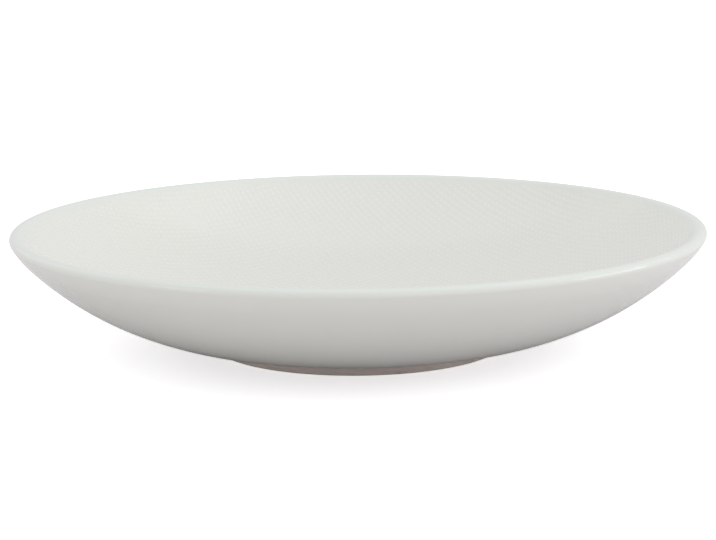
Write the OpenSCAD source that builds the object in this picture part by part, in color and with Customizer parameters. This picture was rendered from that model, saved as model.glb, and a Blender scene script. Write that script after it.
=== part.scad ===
// Deep coupe soup plate: a fired porcelain body with a clear glaze over it.
// The plate is a solid of revolution about Z and stands on z = 0 on its foot ring.
// A half section is drawn in X and Z, with X as the distance from the axis, and turned.
// The glaze follows the body at one thickness, so the section is drawn with a skin value:
// 0 gives the glazed surface that a hand feels, and glaze_t gives the bare body under it.

/* [Plate] */
// Diameter over the lip
rim_d = 220; // [180:1:280]
// Height from the table to the top of the lip
plate_h = 39; // [32:0.5:52]
// Thickness of the wall at its round lip
lip_t = 4.8; // [3.6:0.1:7]

/* [Belly and well] */
// Angle above the level at which the belly leaves the foot ring
belly_a = 5.5; // [2:0.5:10]
// Diameter of the level middle of the well
well_d = 72; // [50:1:88]
// Thickness of the floor, through the body and both its glazes
floor_t = 4.8; // [3.8:0.1:7]

/* [Foot ring] */
// Diameter over the outer wall of the foot ring
foot_d = 94; // [78:1:110]
// Height of the outer wall of the foot ring, up to the belly
foot_h = 3.2; // [2.6:0.1:5]
// Width of the foot ring
foot_w = 5; // [4.2:0.1:8]
// Depth of the hollow under the base, inside the foot ring
hollow_h = 2.7; // [2.2:0.1:4.5]
// Radius of the hollow corner between the foot ring and the belly
corner_r = 1; // [0.5:0.1:1.5]
// Radius of the cove between the foot ring and the hollow's ceiling
cove_r = 1.5; // [0.8:0.1:2.4]
// Radius of the two edges beside the bearing face
bearing_edge_r = 0.8; // [0.4:0.1:1.2]

/* [Glaze] */
// Thickness of the glaze
glaze_t = 0.25; // [0.15:0.05:0.5]
// Height above the table at which the glaze is wiped off the foot ring
glaze_line_h = 1; // [0.8:0.1:1.4]

/* [Hidden] */
$fn = 240;

// Plan radii
foot_r = foot_d / 2;
foot_inner_r = foot_r - foot_w;
foot_mid_r = foot_r - foot_w / 2;
well_r = well_d / 2;

// The lip is a full round: its circle lies inside the rim and under the plate's height
lip_r = lip_t / 2;
lip_x = rim_d / 2 - lip_r;
lip_z = plate_h - lip_r;

// The belly is one arc. It starts on the foot ring's wall at belly_a and ends on the lip.
belly_dx = lip_x - foot_r;
belly_dz = lip_z - foot_h;
belly_rise = belly_dz * cos(belly_a) - belly_dx * sin(belly_a);
belly_r = (belly_dx ^ 2 + belly_dz ^ 2 - lip_r ^ 2) / (2 * (belly_rise - lip_r));
belly_x = foot_r - belly_r * sin(belly_a);
belly_z = foot_h + belly_r * cos(belly_a);

// The well is level in the middle and one arc from there to the lip
floor_z = hollow_h + floor_t;
floor_mid_z = hollow_h + floor_t / 2;
well_dx = lip_x - well_r;
well_dz = lip_z - floor_z;
well_arc_r = (well_dx ^ 2 + well_dz ^ 2 - lip_r ^ 2) / (2 * (well_dz + lip_r));
well_arc_z = floor_z + well_arc_r;

// Directions in which the belly and the well run onto the lip
to_belly = [lip_x - belly_x, lip_z - belly_z] / (belly_r - lip_r);
to_well = [well_r - lip_x, well_arc_z - lip_z] / (well_arc_r + lip_r);

// The corner under the belly: its circle touches the foot ring's wall and the belly
corner_x = foot_r + corner_r;
corner_z = belly_z - sqrt((belly_r + corner_r) ^ 2 - (corner_x - belly_x) ^ 2);
to_corner = [corner_x - belly_x, corner_z - belly_z] / (belly_r + corner_r);

// The cove stays clear of the rounded bearing edge below it
cove_fit_r = min(cove_r, hollow_h - bearing_edge_r);
cove_x = foot_inner_r - cove_fit_r;
cove_z = hollow_h - cove_fit_r;

// The line across the wall where the lip's round takes over, drawn past both faces
lip_mid = [lip_x, lip_z];
lip_line = [lip_mid + lip_t * to_belly, lip_mid, lip_mid + lip_t * to_well];

// The wall from the middle of the foot ring out to the lip's line, before the well is cut
module wall_section(skin) {
    intersection() {
        translate([belly_x, belly_z]) circle(belly_r - skin);
        polygon(concat([[foot_mid_r, plate_h], [foot_mid_r, 0], [rim_d, 0]], lip_line));
    }
}

// The full round of the lip. Its inner half lies within the wall and joins the two.
module lip_section(skin) {
    translate(lip_mid) circle(lip_r - skin);
}

// The open well: a level middle and an arc from it up to the lip
module well_section(skin) {
    translate([well_r, well_arc_z]) circle(well_arc_r + skin);
    translate([0, floor_z - skin]) square([well_r, 2 * plate_h]);
}

// The floor over the hollow, and the foot ring with the round edges of its bearing face
module foot_section(skin) {
    wall_in = foot_inner_r + skin;
    wall_out = foot_r - skin;
    land_in = wall_in + bearing_edge_r;
    land_out = wall_out - bearing_edge_r;
    translate([0, hollow_h + skin]) square([wall_out, floor_z]);
    translate([wall_in, bearing_edge_r]) square([wall_out - wall_in, floor_z - bearing_edge_r]);
    translate([land_in, 0]) square([land_out - land_in, floor_z]);
    for (x = [land_in, land_out])
        translate([x, bearing_edge_r]) circle(bearing_edge_r);
}

// The hollow corner that blends the foot ring's wall into the belly
module corner_section(skin) {
    difference() {
        polygon([
            [foot_r - skin, corner_z],
            [corner_x, corner_z],
            [belly_x, belly_z] + (belly_r - skin) * to_corner,
            [foot_mid_r, floor_mid_z]
        ]);
        translate([corner_x, corner_z]) circle(corner_r + skin);
    }
}

// The cove that blends the foot ring into the ceiling of the hollow
module cove_section(skin) {
    difference() {
        translate([cove_x, cove_z]) square(cove_fit_r + foot_w / 2);
        translate([cove_x, cove_z]) circle(cove_fit_r + skin);
    }
}

// The whole half section at a given depth below the glazed surface
module plate_section(skin) {
    difference() {
        union() {
            wall_section(skin);
            foot_section(skin);
            corner_section(skin);
            cove_section(skin);
        }
        well_section(skin);
    }
    lip_section(skin);
}

// All the glaze: the layer between the two surfaces, wiped off below the glaze line
module glaze_section() {
    difference() {
        plate_section(0);
        plate_section(glaze_t);
        square([rim_d, glaze_line_h]);
    }
}

// The space under the base, as far as the middle of the foot ring and of the floor
module under_base() {
    square([foot_mid_r, floor_mid_z]);
}

// The fired body: wall, floor and foot ring thrown as one piece, bare on its bearing face
module porcelain_body() {
    color("antiquewhite")
    rotate_extrude() plate_section(glaze_t);
}

// The glaze that covers what shows: the foot ring's wall, the belly, the lip and the well
module glaze_coat() {
    color("whitesmoke")
    rotate_extrude()
    difference() {
        glaze_section();
        under_base();
    }
}

// The glaze inside the foot ring, apart from the rest because the bearing face is bare
module base_glaze() {
    color("gainsboro")
    rotate_extrude()
    intersection() {
        glaze_section();
        under_base();
    }
}

porcelain_body();
glaze_coat();
base_glaze();
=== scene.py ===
# %% [markdown]
# # A deep soup plate in white glazed porcelain
# The real plate is pressed from fine white clay, fired, dipped in a clear glaze and fired again.
# Its well carries a net of small raised dots, pressed by the tool that shaped it, and its foot
# ring is wiped bare so that it doesn't stick to the kiln shelf.
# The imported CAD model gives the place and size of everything. This lesson dresses it: each
# surface is worked out again, finely, from the same few sizes, and gets a ceramic material.

import bpy
import numpy as np
from mathutils import Euler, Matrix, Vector


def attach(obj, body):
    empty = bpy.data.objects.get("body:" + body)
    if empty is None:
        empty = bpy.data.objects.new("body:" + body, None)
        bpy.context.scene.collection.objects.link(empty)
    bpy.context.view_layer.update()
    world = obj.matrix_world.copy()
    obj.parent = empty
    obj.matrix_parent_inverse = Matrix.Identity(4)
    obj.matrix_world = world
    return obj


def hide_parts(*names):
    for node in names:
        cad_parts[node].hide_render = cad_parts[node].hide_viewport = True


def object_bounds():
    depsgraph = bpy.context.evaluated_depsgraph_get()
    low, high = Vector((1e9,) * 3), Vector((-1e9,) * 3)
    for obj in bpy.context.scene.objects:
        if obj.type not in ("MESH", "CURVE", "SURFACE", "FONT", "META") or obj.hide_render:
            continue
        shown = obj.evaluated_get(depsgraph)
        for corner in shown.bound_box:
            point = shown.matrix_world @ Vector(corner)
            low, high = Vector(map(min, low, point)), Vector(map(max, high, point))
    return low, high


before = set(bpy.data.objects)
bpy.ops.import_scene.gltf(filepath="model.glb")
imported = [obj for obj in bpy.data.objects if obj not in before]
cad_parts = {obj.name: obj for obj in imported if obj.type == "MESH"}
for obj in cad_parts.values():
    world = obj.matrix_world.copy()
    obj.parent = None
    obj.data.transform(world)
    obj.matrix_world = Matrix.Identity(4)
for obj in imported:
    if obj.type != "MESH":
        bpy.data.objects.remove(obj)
cad_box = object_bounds()
print("CAD box in metres:", cad_box)

# %% [markdown]
# ## The sizes that drive the section
# A plate is a solid of revolution, so one half section says it all. The section is made of arcs
# that touch each other, as a potter's template is. Every centre and radius follows from a few
# sizes that can be measured with a ruler, so they are repeated here in millimetres and turned
# into metres only when a mesh is made.

# %% Sizes in millimetres
MM = 0.001
RIM_R, PLATE_H, LIP_R = 110.0, 39.0, 2.4
WELL_R, FLOOR_T = 36.0, 4.8
FOOT_R, FOOT_H, FOOT_W, HOLLOW_H = 47.0, 3.2, 5.0, 2.7
CORNER_R, COVE_R, EDGE_R = 1.0, 1.5, 0.8
BELLY_ANGLE = np.radians(5.5)
GLAZE_T, GLAZE_LINE_H = 0.25, 1.0
cad_width = (cad_box[1][0] - cad_box[0][0]) / MM
print("the plate is", 2 * RIM_R, "mm across, and its CAD box", round(cad_width, 2), "mm")

# %% [markdown]
# ## Where the arcs have their centres
# The lip is a full round. The belly starts on the foot ring at a known angle and has to end on
# the lip: of all circles with that start, one touches the lip, and its radius comes from the
# distance between the two. The well starts level, so its centre is straight above the edge of
# the floor, and it touches the lip from the other side.

# %% Centres and radii of the arcs
def touching_radius(start, to_centre, other, other_r):
    """The radius of the circle that passes through start, has its centre in the direction
    to_centre, and has the circle of radius other_r round other touching it from inside. With d
    from start to other it is (d.d - other_r^2) / (2 (d.to_centre - other_r)). A negative other_r
    makes the two touch from outside."""
    d = other - start
    return (d @ d - other_r**2) / (2 * (d @ to_centre - other_r))


lip = np.array([RIM_R - LIP_R, PLATE_H - LIP_R])
foot_top = np.array([FOOT_R, FOOT_H])
to_belly = np.array([-np.sin(BELLY_ANGLE), np.cos(BELLY_ANGLE)])
belly_r = touching_radius(foot_top, to_belly, lip, LIP_R)
belly = foot_top + belly_r * to_belly

floor_z = HOLLOW_H + FLOOR_T
to_well = np.array([0, 1])
well_r = touching_radius(np.array([WELL_R, floor_z]), to_well, lip, -LIP_R)
well = np.array([WELL_R, floor_z + well_r])

corner_x = FOOT_R + CORNER_R
corner_drop = np.sqrt((belly_r + CORNER_R) ** 2 - (corner_x - belly[0]) ** 2)
corner = np.array([corner_x, belly[1] - corner_drop])
cove = np.array([FOOT_R - FOOT_W - COVE_R, HOLLOW_H - COVE_R])
print("belly radius", round(belly_r, 3), "well radius", round(well_r, 3))

# %% [markdown]
# ## A lip with a tight outer edge
# The solid's lip is a full round. The real one is broad on the side of the well and tight on the
# outside, which shows as a thin bright line and a sudden step to the darker belly. Three arcs
# draw that within 0.4 mm of the full round, and neither wider nor higher: a crown that touches
# the well, a small edge inside the crown's circle, and a shoulder that leaves the belly for it.

# %% Crown, edge and shoulder of the lip
CROWN_R, RIM_EDGE_R, SHOULDER_Z = 2.8, 1.5, 31.0
crown_z = PLATE_H - CROWN_R
crown_x = WELL_R + np.sqrt((well_r + CROWN_R) ** 2 - (well[1] - crown_z) ** 2)
crown = np.array([crown_x, crown_z])

edge_x = RIM_R - RIM_EDGE_R
edge_rise = np.sqrt((CROWN_R - RIM_EDGE_R) ** 2 - (edge_x - crown_x) ** 2)
rim_edge = np.array([edge_x, crown_z + edge_rise])

shoulder_x = belly[0] + np.sqrt(belly_r**2 - (SHOULDER_Z - belly[1]) ** 2)
shoulder_low = np.array([shoulder_x, SHOULDER_Z])
to_shoulder = (belly - shoulder_low) / belly_r
shoulder_r = touching_radius(shoulder_low, to_shoulder, rim_edge, RIM_EDGE_R)
shoulder = shoulder_low + shoulder_r * to_shoulder
print("crown at", crown.round(3), "edge at", rim_edge.round(3), "shoulder", round(shoulder_r, 2))

# %% [markdown]
# ## Where one arc hands over to the next
# Two circles touch on the line through their centres. The direction from one centre to the other
# is therefore the angle at which one arc ends and the next one starts.

# %% Angles at the handovers
def angle_of(vector):
    """The direction of a vector, as an angle from +X."""
    return np.arctan2(vector[1], vector[0])


well_end = angle_of(crown - well)
crown_start = angle_of(well - crown)
edge_start = angle_of(rim_edge - crown)
edge_end = angle_of(rim_edge - shoulder)
shoulder_end = angle_of(shoulder_low - belly)
belly_end = angle_of(corner - belly)
print("the tight edge turns by", round(np.degrees(edge_start - edge_end), 1), "degrees")

# %% [markdown]
# ## A surface and the one below it
# Glaze has nearly one thickness everywhere, so its underside is its outer face moved inwards
# along the normals. If each point of the section is kept with its normal, every deeper face is
# one subtraction away, and the glaze and the body fit without a gap.

# %% Points and normals of one arc or one line
def arc(centre, radius, start, end, steps, bulge=1):
    """Centre + radius * (cos t, sin t), t from start to end. The normal points away from the
    centre, or towards it where bulge is -1, as in a hollow."""
    t = np.linspace(start, end, steps + 1)
    ray = np.stack([np.cos(t), np.sin(t)], axis=1)
    return np.hstack([centre + radius * ray, bulge * ray])


def line(start, end, steps):
    """Points at even steps from start to end. The normal is the direction turned to the left."""
    t = np.linspace(0, 1, steps + 1)[:, None]
    way = np.subtract(end, start) / np.linalg.norm(np.subtract(end, start))
    normal = np.broadcast_to([-way[1], way[0]], (steps + 1, 2))
    return np.hstack([start + t * np.subtract(end, start), normal])


print("a quarter turn in two steps:", arc([0, 0], 1, 0, np.pi / 2, 2)[:, :2].round(2).tolist())

# %% Stretches joined to a path
SAME_POINT = 1e-6


def path(*stretches, depth=0.0):
    """The stretches end to end as bare points, moved inwards by depth, without doubles."""
    whole = np.vstack(stretches)
    points = whole[:, :2] - depth * whole[:, 2:]
    apart = np.linalg.norm(np.diff(points, axis=0), axis=1) > SAME_POINT
    return points[np.append(True, apart)]


def skin_arcs(join, steps):
    """The outer face of the section: from the angle join on the well's arc over the lip and down
    to the foot ring's wall. steps holds one number for each arc."""
    return [
        arc(well, well_r, join, well_end, steps[0], -1),
        arc(crown, CROWN_R, crown_start, edge_start, steps[1]),
        arc(rim_edge, RIM_EDGE_R, edge_start, edge_end, steps[2]),
        arc(shoulder, shoulder_r, edge_end, shoulder_end, steps[3]),
        arc(belly, belly_r, shoulder_end, belly_end, steps[4]),
        arc(corner, CORNER_R, belly_end + np.pi, np.pi, steps[5], -1),
    ]


ROUND_STEPS = 8
base_face = [
    arc(cove, COVE_R, 0, np.pi / 2, ROUND_STEPS, -1),
    line([cove[0], HOLLOW_H], [0, HOLLOW_H], ROUND_STEPS),
]
print("the face of the hollow base has", len(path(*base_face)), "points in section")

# %% [markdown]
# ## Turning a section into a solid
# Blender's Screw modifier can turn a profile, but a grid worked out as one array is exact, has
# no doubled seam and gives the normals their direction. The section runs out along the top and
# back along the underside, so the faces look outwards by themselves.

# %% A mesh object from arrays
SHARP_ANGLE = np.radians(40)


def make_object(name, points, faces, relief=None):
    """A smooth-shaded mesh in metres from points in millimetres. Edges sharper than SHARP_ANGLE
    stay crisp. relief, from 0 to 1, is kept on each point for the glaze's colour."""
    mesh = bpy.data.meshes.new(name)
    mesh.from_pydata((points * MM).tolist(), [], faces)
    mesh.attributes.new("relief", "FLOAT", "POINT")
    if relief is not None:
        mesh.attributes["relief"].data.foreach_set("value", relief.astype(np.float32))
    mesh.polygons.foreach_set("use_smooth", np.ones(len(mesh.polygons), bool))
    mesh.set_sharp_from_angle(angle=SHARP_ANGLE)
    mesh.validate()
    made = bpy.data.objects.new(name, mesh)
    bpy.context.scene.collection.objects.link(made)
    mesh.calc_loop_triangles()
    print(f"{name}: {len(points)} points, {len(mesh.loop_triangles)} triangles")
    return made


print("edges over", round(np.degrees(SHARP_ANGLE)), "degrees stay crisp")

# %% A section turned round the axis
ON_AXIS = 1e-9
BODY_SECTORS, LIP_SECTORS = 360, 600


def turned(name, section, sectors):
    """Each point (r, z) of the section goes to (r cos t, r sin t, z) for sectors even angles t.
    A section that starts and ends on the axis closes on a pole there, and any other is a ring
    whose last point joins its first."""
    poles = section[0, 0] < ON_AXIS
    ring = section[1:-1] if poles else section
    t = np.arange(sectors) * 2 * np.pi / sectors
    spin = np.stack([np.cos(t), np.sin(t), np.ones(sectors)], axis=1)
    points = (ring[:, None, [0, 0, 1]] * spin).reshape(-1, 3)
    row = np.arange(len(ring) - poles)[:, None] * sectors
    here = np.arange(sectors)
    ahead = (here + 1) % sectors
    total = len(points)
    quads = np.stack(
        [row + here, (row + sectors + here) % total, (row + sectors + ahead) % total, row + ahead],
        axis=2,
    ).reshape(-1, 4).tolist()
    if not poles:
        return make_object(name, points, quads)
    last = total - sectors
    points = np.vstack([points, [[0, 0, section[0, 1]], [0, 0, section[-1, 1]]]])
    top = np.stack([np.full(sectors, total), here, ahead], axis=1).tolist()
    foot = np.stack([last + here, np.full(sectors, total + 1), last + ahead], axis=1).tolist()
    return make_object(name, points, top + quads + foot)


sector_width = 2 * np.pi * RIM_R / LIP_SECTORS
print("a sector of the glaze is", round(sector_width, 2), "mm wide at the lip")

# %% [markdown]
# ## The fired body
# Under the glaze the plate is one piece of porcelain. Only the foot ring's bearing face and its
# two small edges are bare, but the whole body is made, so that it is a true solid: floor, well,
# lip, belly and the hollow base, all one glaze thickness below the outer face.

# %% Body
BODY_STEPS = (40, 8, 8, 6, 24, 5)
edge_out = np.array([FOOT_R - GLAZE_T - EDGE_R, EDGE_R])
edge_in = np.array([FOOT_R - FOOT_W + GLAZE_T + EDGE_R, EDGE_R])
body_section = np.vstack([
    path(line([0, floor_z], [WELL_R, floor_z], ROUND_STEPS),
         *skin_arcs(-np.pi / 2, BODY_STEPS), depth=GLAZE_T),
    path(arc(edge_out, EDGE_R, 0, -np.pi / 2, ROUND_STEPS),
         arc(edge_in, EDGE_R, -np.pi / 2, -np.pi, ROUND_STEPS)),
    path(*base_face, depth=GLAZE_T),
])
body_piece = turned("fired_body", body_section, BODY_SECTORS)

# %% [markdown]
# ## The glaze inside the foot ring
# The dip also covers the hollow base, up to where the foot ring is wiped. Its free edge is
# rounded, because molten glaze pulls itself into a bead there.

# %% Base glaze
BEAD_STEPS = 4
inner_x = FOOT_R - FOOT_W
base_bead_h = min(GLAZE_T, cove[1] - GLAZE_LINE_H)
quarter_turn = arc([0, 0], 1, -np.pi / 2, -np.pi, BEAD_STEPS)[:-1, :2]
base_bead = [inner_x + GLAZE_T, cove[1]] + quarter_turn * [GLAZE_T, base_bead_h]
base_under = path(*base_face, depth=GLAZE_T)[::-1]
base_section = np.vstack([base_under, base_bead, path(*base_face)])
base_piece = turned("base_glaze_dip", base_section, BODY_SECTORS)

# %% [markdown]
# ## The glaze on lip, belly and foot
# This is the smooth part of the glaze: from just inside the lip, over the lip and down the belly
# to the foot ring. It is a closed shell, out along the skin and back along the body, so it has
# a real thickness where it ends. The lip draws the plate's outline, so this shell has more
# sectors than the body has, and its points stand closest on the tight edge.

# %% Lip and belly glaze
JOIN_R = 105.2
FRONT_STEPS, BACK_STEPS = (4, 18, 26, 12, 28, 8), (2, 7, 9, 5, 20, 4)
join_angle = -np.arccos((JOIN_R - WELL_R) / well_r)
front = path(*skin_arcs(join_angle, FRONT_STEPS))
back = path(*skin_arcs(join_angle, BACK_STEPS), depth=GLAZE_T)
bead_centre = [FOOT_R - GLAZE_T, GLAZE_LINE_H + GLAZE_T]
bead = arc(bead_centre, GLAZE_T, 0, -np.pi / 2, BEAD_STEPS)[:, :2]
smooth_piece = turned("lip_and_belly_glaze", np.vstack([front, bead, back[::-1]]), LIP_SECTORS)

# %% [markdown]
# ## The embossed well
# The dots stand in a rigid square net that was laid on the well's curved surface, so the net is
# drawn on the surface rolled out flat: a point there has the distance along the section from the
# middle, and keeps its direction. A polar grid would smear the dots, so the mesh follows the
# net, with six cells to a dot each way. A quarter of the well is made once and turned four
# times, because the net looks the same after a quarter turn, and its cuts run in the flat rows
# between the dots.

# %% The net of dots, on the rolled-out well
DOT_PITCH, DOT_R, DOT_H = 2.22, 0.86, 0.11
PLAIN_EDGE, FADE = 0.3, 1.2
reach = WELL_R + well_r * (join_angle + np.pi / 2)


def dot_height(p, q):
    """From 0 on the ground to 1 on top of a dot. With d the distance to the nearest dot's middle
    over the dot's radius, a dot is (1 - d^2)^2, which leaves the ground and reaches its top
    level. The net fades beside the lip."""
    u, v = (np.mod(x, DOT_PITCH) - DOT_PITCH / 2 for x in (p, q))
    d2 = (u**2 + v**2) / DOT_R**2
    fade = np.clip((reach - PLAIN_EDGE - np.hypot(p, q)) / FADE, 0, 1)
    return np.clip(1 - d2, 0, None) ** 2 * fade**2 * (3 - 2 * fade)


print("the net reaches", round(reach, 2), "mm from the middle, measured along the glaze")


# %% From the rolled-out well to the plate
def on_well(p, q, lift):
    """The point of the plate at (p, q) on the rolled-out well, lifted along the normal. With s the
    distance from the middle, the section is level up to the floor's edge and turns by
    (s - edge) / radius after it."""
    s = np.hypot(p, q)
    turn = np.clip(s - WELL_R, 0, None) / well_r
    r = np.minimum(s, WELL_R) + (well_r - lift) * np.sin(turn)
    z = well[1] - (well_r - lift) * np.cos(turn)
    scale = r / np.maximum(s, ON_AXIS)
    return np.stack([p * scale, q * scale, z], axis=-1)


print("the net ends at", on_well(reach, 0.0, 0.0).round(2), "mm on the plate")

# %% [markdown]
# ## A quarter disc cut from squares
# Squares can't fill a disc. A square is kept where its middle lies in the disc, which leaves a
# staircase, and the corners of the staircase then move straight onto the circle. The same
# function makes the front of the glaze, with six squares to a dot each way, and its plain back,
# with one.

# %% Squares that are kept
def kept_squares(step):
    """Squares of side step are kept where their middle is within reach. Returns where the corners
    stand along an axis, the squares kept, the corners that they use, and the corners of the
    staircase, which a square left out touches too."""
    count = int(reach / step) + 2
    at = np.arange(count + 1) * step
    middle = at[:-1] + step / 2
    kept = np.hypot(*np.meshgrid(middle, middle)) < reach
    touched, squares_there = np.zeros((2, count + 1, count + 1), int)
    for i, j in ((0, 0), (0, 1), (1, 0), (1, 1)):
        touched[i:i + count, j:j + count] += kept
        squares_there[i:i + count, j:j + count] += 1
    used = touched > 0
    return at, kept, used, used & (touched < squares_there)


# A dot stands in the middle of each square of the net
print("dots in a quarter:", kept_squares(DOT_PITCH)[1].sum())


# %% A quarter disc of squares
def quarter_net(step):
    """The kept squares, with the staircase moved straight onto the circle. Returns the corners
    (p, q), the cells, the corners round the border and how far round each is: 0 to 1 along p,
    1 to 2 along the circle and 2 to 3 back along q."""
    at, kept, used, on_stairs = kept_squares(step)
    p, q = np.meshgrid(at, at, indexing="ij")
    pull = np.where(on_stairs, reach / np.maximum(np.hypot(p, q), ON_AXIS), 1.0)
    number = np.cumsum(used).reshape(used.shape) - 1
    i, j = np.nonzero(kept)
    cells = np.stack([number[i, j], number[i + 1, j], number[i + 1, j + 1], number[i, j + 1]], 1)
    p, q = (p * pull)[used], (q * pull)[used]

    along_p = number[:, 0][used[:, 0]]
    along_q = number[0][used[0]][::-1]
    rim = number[on_stairs]
    rim = rim[np.argsort(np.arctan2(q[rim], p[rim]))][1:-1]
    border = np.concatenate([along_p, rim, along_q[:-1]])
    way = np.concatenate([
        p[along_p] / reach,
        1 + np.arctan2(q[rim], p[rim]) * 2 / np.pi,
        3 - q[along_q[:-1]] / reach,
    ])
    return p, q, cells, border, way


CELLS_PER_DOT = 6
p, q, cells, border, way = quarter_net(DOT_PITCH / CELLS_PER_DOT)
back_p, back_q, back_cells, back_border, back_way = quarter_net(DOT_PITCH)
print("squares in a quarter:", len(cells), "in front and", len(back_cells), "at the back")

# %% [markdown]
# ## Closing the edge of a quarter
# Front and back have different numbers of corners round their borders, so plain four-sided faces
# can't join them. Both borders know how far round each corner is, and triangles go from each
# edge of one border to the nearest corner of the other.

# %% The wall between front and back
LAP = 3.0


def wall_between(upper, upper_way, lower, lower_way):
    """Triangles between two loops that run side by side, each LAP long: each edge of one goes to
    the nearest corner of the other."""
    switch = (lower_way + np.append(lower_way[1:], LAP)) / 2
    last_before = np.searchsorted(upper_way, switch) - 1
    edge = np.arange(len(upper))
    partner = np.searchsorted(last_before, edge, side="right") % len(lower)
    down = np.stack([upper, lower[partner], np.roll(upper, -1)], 1)
    up = np.stack([lower, np.roll(lower, -1), upper[last_before]], 1)
    return np.vstack([down, up])


wall = wall_between(border, way, back_border + len(p), back_way)
print("triangles in the wall of a quarter:", len(wall))

# %% [markdown]
# ## Four quarters of embossed glaze
# The front is lifted by the dots, and the back lies on the body, one glaze thickness down. The
# height of the dots is kept on the points as well, because the glaze is paler on a dot. The net
# is turned by 35 degrees to the picture, as on the real plate.

# %% The four quarters
NET_TURN, QUARTERS = np.radians(35), 4
height_kept = dot_height(p, q)
front_points = on_well(p, q, DOT_H * height_kept)
back_points = on_well(back_p, back_q, -GLAZE_T)
quarter = np.vstack([front_points, back_points])
faces = cells.tolist() + (back_cells[:, ::-1] + len(p)).tolist() + wall.tolist()
relief = np.append(height_kept, np.zeros(len(back_p)))

well_pieces = []
for k in range(QUARTERS):
    t = NET_TURN + k * 2 * np.pi / QUARTERS
    turn = np.array([[np.cos(t), np.sin(t), 0], [-np.sin(t), np.cos(t), 0], [0, 0, 1]])
    well_pieces.append(make_object(f"embossed_well_glaze_{k + 1}", quarter @ turn, faces, relief))

# %% [markdown]
# ## Colours and nodes
# Colours are written as they look on a screen, in sRGB hex, and turned into the linear values
# that light is counted in. One small function adds any node, sets it and links it.

# %% Helpers for materials
def colour(code):
    """sRGB hex to linear RGBA: v / 12.92 below 0.04045, else ((v + 0.055) / 1.055) ^ 2.4."""
    v = np.array([int(code[i:i + 2], 16) for i in (1, 3, 5)]) / 255
    low, high = v / 12.92, ((v + 0.055) / 1.055) ** 2.4
    return (*np.where(v <= 0.04045, low, high).tolist(), 1.0)


def add(tree, kind, inputs=None, **settings):
    """Adds a node with its settings. An input, by name or number, gets a value, or a link where
    the value is another node's output."""
    node = tree.nodes.new(kind)
    for name, value in settings.items():
        setattr(node, name, value)
    for name, value in (inputs or {}).items():
        if isinstance(value, bpy.types.NodeSocket):
            tree.links.new(value, node.inputs[name])
        else:
            node.inputs[name].default_value = value
    return node


def new_material(name):
    """A material with an empty node tree, and that tree."""
    material = bpy.data.materials.new(name)
    material.use_nodes = True
    material.node_tree.nodes.clear()
    return material, material.node_tree


# A Mix node for colours takes them at these inputs and gives the mix at this output
MIX_A, MIX_B, MIXED = 6, 7, 2
print("a middle grey on the screen, #808080, is", round(colour("#808080")[0], 3), "in light")

# %% [markdown]
# ## Clear gloss glaze over white porcelain
# Glaze is a glass, so it reflects about 4 % of the light head-on and more at a slant: IOR 1.5.
# It is fired smooth, but it isn't optically flat: as it melts it sets in low waves a few
# millimetres long, which make the edge of a reflection wander. It gathers between the dots and
# thins on them, so the dots are a shade lighter than their ground. The white under it is very
# slightly warm, and not the same all over. Down at the foot the glaze thins out towards its
# wiped edge, and the warmer body shows through it; the same warm tint, up the belly to 7 mm, is
# also painted warm shade, the cast of the shaded table under the plate. Near the top of the lip,
# above 37 mm, the white is tinted faintly green-grey.

# %% Glaze: the white under it, and the dots
DRIFT_SIZE = 70 * MM
glaze, tree = new_material("clear_gloss_glaze_on_porcelain")
place = add(tree, "ShaderNodeTexCoord").outputs["Object"]
dots = add(tree, "ShaderNodeAttribute", attribute_name="relief").outputs["Fac"]
drift = add(tree, "ShaderNodeTexNoise", {
    "Vector": place, "Scale": 1 / DRIFT_SIZE, "Detail": 2.0,
}).outputs["Fac"]
ground = add(tree, "ShaderNodeMix", {
    "Factor": drift, MIX_A: colour("#E4E4DC"), MIX_B: colour("#E2E3E0"),
}, data_type="RGBA").outputs[MIXED]
white = add(tree, "ShaderNodeMix", {
    "Factor": dots, MIX_A: ground, MIX_B: colour("#E8E8E4"),
}, data_type="RGBA").outputs[MIXED]
print("the white drifts between two tones about", round(DRIFT_SIZE / MM), "mm apart")

# %% Glaze: thin beside the foot, with painted warm shade
# Painted warm shade and thin glaze: the warm tint fades in from 7 mm down to 3 mm above the table.
THIN_AND_SHADE_FROM_Z, THIN_AND_SHADE_TO_Z = 7.0 * MM, 3.0 * MM
HOLLOW_EDGE_R, FOOT_EDGE_R = 40.5 * MM, 42.0 * MM
height = add(tree, "ShaderNodeSeparateXYZ", {0: place}).outputs["Z"]
low = add(tree, "ShaderNodeMapRange", {
    "Value": height, "From Min": THIN_AND_SHADE_FROM_Z, "From Max": THIN_AND_SHADE_TO_Z,
}).outputs["Result"]
flat = add(tree, "ShaderNodeVectorMath", {
    0: place, 1: (1, 1, 0),
}, operation="MULTIPLY").outputs["Vector"]
radius = add(tree, "ShaderNodeVectorMath", {0: flat}, operation="LENGTH").outputs["Value"]
outside = add(tree, "ShaderNodeMapRange", {
    "Value": radius, "From Min": HOLLOW_EDGE_R, "From Max": FOOT_EDGE_R,
}).outputs["Result"]
thin_glaze_and_warm_shade = add(tree, "ShaderNodeMath", {0: low, 1: outside}, operation="MULTIPLY").outputs["Value"]
# Painted warm shade: the foot wall and low belly turn warm, partly thin glaze over the warm body
# and partly the shaded table's warm cast.
white = add(tree, "ShaderNodeMix", {
    "Factor": thin_glaze_and_warm_shade, MIX_A: white, MIX_B: colour("#EBDDD8"),
}, data_type="RGBA").outputs[MIXED]
print("the glaze thins out below", round(THIN_AND_SHADE_FROM_Z / MM), "mm")

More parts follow.
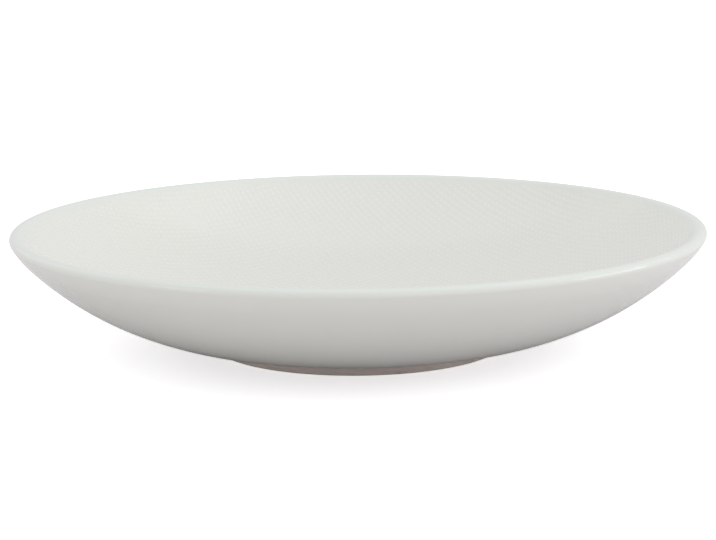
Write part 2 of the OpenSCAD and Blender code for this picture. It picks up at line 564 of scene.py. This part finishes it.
# %% Glaze: a green-grey tint on the lip
# Above 37 mm the white is tinted faintly green-grey.
LIP_TINT_FROM_Z, LIP_TINT_TO_Z = 37.0 * MM, 38.2 * MM
lip_tint = add(tree, "ShaderNodeMapRange", {
    "Value": height, "From Min": LIP_TINT_FROM_Z, "From Max": LIP_TINT_TO_Z,
}).outputs["Result"]
white = add(tree, "ShaderNodeMix", {
    "Factor": lip_tint, MIX_A: white, MIX_B: colour("#E0E4DF"),
}, data_type="RGBA").outputs[MIXED]
print("the glaze is thick above", round(LIP_TINT_FROM_Z / MM), "mm")

# %% Glaze: low waves and gloss
WAVE_LENGTH, WAVE_HEIGHT = 6.0 * MM, 0.02 * MM
waves = add(tree, "ShaderNodeTexNoise", {
    "Vector": place, "Scale": 1 / WAVE_LENGTH, "Detail": 1.0,
}).outputs["Fac"]
bump = add(tree, "ShaderNodeBump", {
    "Height": waves, "Distance": WAVE_HEIGHT, "Strength": 1.0,
}).outputs["Normal"]
shader = add(tree, "ShaderNodeBsdfPrincipled", {
    "Base Color": white, "Roughness": 0.05, "IOR": 1.5, "Normal": bump,
}).outputs["BSDF"]
add(tree, "ShaderNodeOutputMaterial", {"Surface": shader})
print("glaze:", len(tree.nodes), "nodes")

# %% [markdown]
# ## Bare fired porcelain
# Where the glaze was wiped off, the body shows: dense and matt like an eggshell, with a fine
# grit, and grey where it has slid over tables and other plates. The real grit is finer than a
# tenth of a millimetre, and is drawn at 0.6 mm so that it can show at all.

# %% Bare porcelain material
GRIT_SIZE, GRIT_HEIGHT, RUB_SIZE = 0.6 * MM, 0.03 * MM, 9.0 * MM
RUB_FROM, RUB_TO = 0.52, 0.72
bisque, tree = new_material("bare_fired_porcelain")
place = add(tree, "ShaderNodeTexCoord").outputs["Object"]
grit = add(tree, "ShaderNodeTexNoise", {
    "Vector": place, "Scale": 1 / GRIT_SIZE, "Detail": 3.0,
}).outputs["Fac"]
rub = add(tree, "ShaderNodeTexNoise", {
    "Vector": place, "Scale": 1 / RUB_SIZE, "Detail": 4.0,
}).outputs["Fac"]
worn = add(tree, "ShaderNodeMapRange", {
    "Value": rub, "From Min": RUB_FROM, "From Max": RUB_TO,
}).outputs["Result"]
tone = add(tree, "ShaderNodeMix", {
    "Factor": worn, MIX_A: colour("#E0D7CC"), MIX_B: colour("#BDB6AD"),
}, data_type="RGBA").outputs[MIXED]
bump = add(tree, "ShaderNodeBump", {
    "Height": grit, "Distance": GRIT_HEIGHT, "Strength": 1.0,
}).outputs["Normal"]
shader = add(tree, "ShaderNodeBsdfPrincipled", {
    "Base Color": tone, "Roughness": 0.75, "IOR": 1.5, "Normal": bump,
}).outputs["BSDF"]
add(tree, "ShaderNodeOutputMaterial", {"Surface": shader})
print("bare porcelain:", len(tree.nodes), "nodes")

# %% [markdown]
# ## Finishes, and what each piece stands for
# Each piece is listed with its material, the imported solid that it stands for, and its material
# slot in the part's record. It gets the material and moves with the body of the model, and the
# imported solid is hidden.
# Nothing on a plate moves, so all pieces are on the one body, root. The smooth glaze and the four
# embossed quarters are five pieces in the scene, and one sheet of glaze on the real plate.

# %% Finishes and the frame
finishes = [
    (body_piece, bisque, "porcelain_body", "bare_porcelain"),
    (base_piece, glaze, "base_glaze", "glaze"),
    (smooth_piece, glaze, "glaze_coat", "glaze"),
]
finishes += [(piece, glaze, "glaze_coat", "glaze") for piece in well_pieces]
for piece, material, node_name, slot in finishes:
    piece.data.materials.append(material)
    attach(piece, "root")
    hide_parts(node_name)
    print(f"{piece.name} stands for {node_name}, in {material.name}")

# %% [markdown]
# ## A pale table
# The plate stands on a white table that fills the picture. One large square is enough for it.

# %% Floor
FLOOR_HALF = 6.0
floor_mesh = bpy.data.meshes.new("floor")
floor_corners = FLOOR_HALF * np.array([(-1, -1, 0), (1, -1, 0), (1, 1, 0), (-1, 1, 0)])
floor_mesh.from_pydata(floor_corners.tolist(), [], [(0, 1, 2, 3)])
floor = bpy.data.objects.new("floor", floor_mesh)
bpy.context.scene.collection.objects.link(floor)
print("floor:", 2 * FLOOR_HALF, "m wide")

# %% [markdown]
# ## Matt white paint for the table
# The table is a board painted matt white. Such paint scatters light and mirrors nothing, so all
# that shows on it is the plate's soft shadow. Its colour lights the underside of the plate, and
# the glaze reflects the darker shadow. Seen by the camera the table also glows a little, so that
# it is clean white but for the deepest part of the shadow. Far from the plate a weaker glow is
# there for reflections too.

# %% The table's material, and kinds of rays
def ray_kinds(tree):
    """Two values of 0 or 1: whether a ray comes from the camera, and whether it comes from a
    reflection or through glass."""
    rays = add(tree, "ShaderNodeLightPath").outputs
    mirrored = add(tree, "ShaderNodeMath", {
        0: rays["Is Glossy Ray"], 1: rays["Is Transmission Ray"],
    }, operation="MAXIMUM")
    return rays["Is Camera Ray"], mirrored.outputs["Value"]


table, tree = new_material("matt_white_paint_on_board")
seen, mirrored = ray_kinds(tree)
print("the table tells rays apart with", len(tree.nodes), "nodes")

# %% Paint and glow of the table
CAMERA_GLOW, MIRROR_GLOW = 0.65, 0.1
GLOW_FROM, GLOW_TO = 0.15, 0.6
place = add(tree, "ShaderNodeTexCoord").outputs["Object"]
away = add(tree, "ShaderNodeVectorMath", {0: place}, operation="LENGTH").outputs["Value"]
far = add(tree, "ShaderNodeMapRange", {
    "Value": away, "From Min": GLOW_FROM, "From Max": GLOW_TO, "To Max": MIRROR_GLOW,
}).outputs["Result"]
mirror_glow = add(tree, "ShaderNodeMath", {
    0: mirrored, 1: far,
}, operation="MULTIPLY").outputs["Value"]
strength = add(tree, "ShaderNodeMath", {
    0: seen, 1: CAMERA_GLOW, 2: mirror_glow,
}, operation="MULTIPLY_ADD").outputs["Value"]
matt = add(tree, "ShaderNodeBsdfDiffuse", {"Color": colour("#E8E6E8")})
glow = add(tree, "ShaderNodeEmission", {"Color": colour("#FFFFFF"), "Strength": strength})
lit = add(tree, "ShaderNodeAddShader", {0: matt.outputs[0], 1: glow.outputs[0]})
add(tree, "ShaderNodeOutputMaterial", {"Surface": lit.outputs[0]})
floor_mesh.materials.append(table)
print("table: glows by", CAMERA_GLOW, "for the camera and up to", MIRROR_GLOW, "in reflections")

# %% [markdown]
# ## A light tent
# White tableware is photographed in a tent of white cloth, which lights it evenly from all
# round. Here the world is that tent. The camera sees it as pure white, and reflections see pale
# cloth, so that the lip keeps an edge against the white behind it.

# %% World
TENT_LIGHT, TENT_MIRRORED, TENT_SEEN = 0.785, 0.75, 1.0
world = bpy.data.worlds.new("light_tent")
bpy.context.scene.world = world
world.use_nodes = True
tree = world.node_tree
tree.nodes.clear()
seen, mirrored = ray_kinds(tree)
level = add(tree, "ShaderNodeMath", {
    0: mirrored, 1: TENT_MIRRORED - TENT_LIGHT, 2: TENT_LIGHT,
}, operation="MULTIPLY_ADD").outputs["Value"]
level = add(tree, "ShaderNodeMath", {
    0: seen, 1: TENT_SEEN - TENT_LIGHT, 2: level,
}, operation="MULTIPLY_ADD").outputs["Value"]
cloth = add(tree, "ShaderNodeBackground", {"Color": colour("#FFFFFF"), "Strength": level})
add(tree, "ShaderNodeOutputWorld", {"Surface": cloth.outputs[0]})
print("tent: light", TENT_LIGHT, "in reflections", TENT_MIRRORED, "behind the plate", TENT_SEEN)

# %% [markdown]
# ## Large softboxes
# The tent alone would leave the plate flat. Large softboxes overhead and to the right shape it,
# and weak ones lift the near side of the well and the foot ring. They are dim, so that no
# reflection of one burns out.

# %% A lamp that faces the plate, and the large ones
def softbox(name, centre, width, depth, radiance):
    """A flat lamp at centre that faces the plate. A flat lamp of area A that glows with radiance
    L gives off pi * A * L watts."""
    lamp = bpy.data.lights.new(name, "AREA")
    lamp.shape = "RECTANGLE"
    lamp.size, lamp.size_y = width, depth
    lamp.energy = np.pi * width * depth * radiance
    made = bpy.data.objects.new(name, lamp)
    made.location = centre
    made.rotation_euler = (-Vector(centre)).to_track_quat("-Z", "Y").to_euler()
    bpy.context.scene.collection.objects.link(made)
    print(name, round(lamp.energy, 2), "W")


softbox("overhead_softbox", (0, 0, 1.2), 1.4, 1.4, 0.32)
softbox("right_softbox", (1.1, 0, 0.8), 1.8, 1.8, 0.26)
softbox("low_front_softbox", (0.8, -0.9, 0.38), 2.0, 0.7, 0.12)
softbox("back_left_softbox", (-0.9, 0.7, 0.6), 0.9, 0.9, 0.19)

# %% [markdown]
# ## Small low lamps
# Three small lamps near the table are brighter than the softboxes. Each draws a thin line of
# light along the tight edge of the lip, which is what tells the eye that the glaze is glossy.

# %% Strips of light for the lip
softbox("left_strip", (-1.05, -0.71, 0.27), 0.45, 0.30, 1.8)
softbox("right_strip", (1.27, -0.11, 0.27), 0.70, 0.34, 2.7)
softbox("front_strip", (0.35, -1.22, 0.27), 0.34, 0.30, 0.8)

# %% [markdown]
# ## The camera
# A short telephoto lens looks down at the plate from about 11 degrees above the table, turned
# very slightly, so that the left end of the lip is a little lower in the picture.

# %% Camera
LENS, SENSOR = 110.0, 36.0
DISTANCE, ELEVATION, ROLL = 0.700, np.radians(10.72), np.radians(0.61)
TARGET = np.array([-0.00014, 0.0, 0.02372])
lens = bpy.data.cameras.new("camera")
lens.lens, lens.sensor_width = LENS, SENSOR
camera = bpy.data.objects.new("camera", lens)
camera.location = TARGET + DISTANCE * np.array([0, -np.cos(ELEVATION), np.sin(ELEVATION)])
tilt = Euler((np.pi / 2 - ELEVATION, 0, 0)).to_matrix()
camera.rotation_euler = (tilt @ Euler((0, 0, -ROLL)).to_matrix()).to_euler()
bpy.context.scene.collection.objects.link(camera)
bpy.context.scene.camera = camera
print("camera at", [round(v, 4) for v in camera.location])

# %% [markdown]
# ## The view
# The Standard view shows colours as they are.

# %% View
bpy.context.scene.view_settings.view_transform = "Standard"
